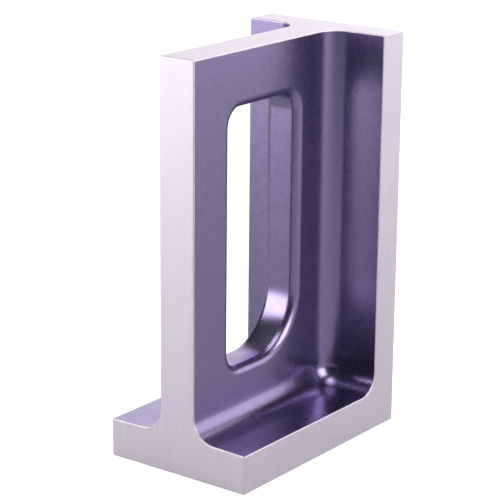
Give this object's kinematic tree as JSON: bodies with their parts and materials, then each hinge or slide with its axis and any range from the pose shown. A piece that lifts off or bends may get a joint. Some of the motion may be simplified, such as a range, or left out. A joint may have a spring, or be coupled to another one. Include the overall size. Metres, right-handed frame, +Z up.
{
  "type": "angle plate",
  "caption": "Cast webbed angle plate: base and back plate at a right angle, joined by a central web with a tall clamping slot; all outer sides ground.",
  "frame": {"origin": "middle of the footprint, on the ground underside", "axes": "+X across the width, +Y from the web's free edge to the back plate, +Z up to the top of the back plate"},
  "size_m": [0.08, 0.125, 0.2],
  "materials": {
    "casting": "ground outer sides, gloss enamel in the cast pockets and slot"
  },
  "bodies": {
    "root": {"angle_plate": "casting"}
  },
  "joints": []
}
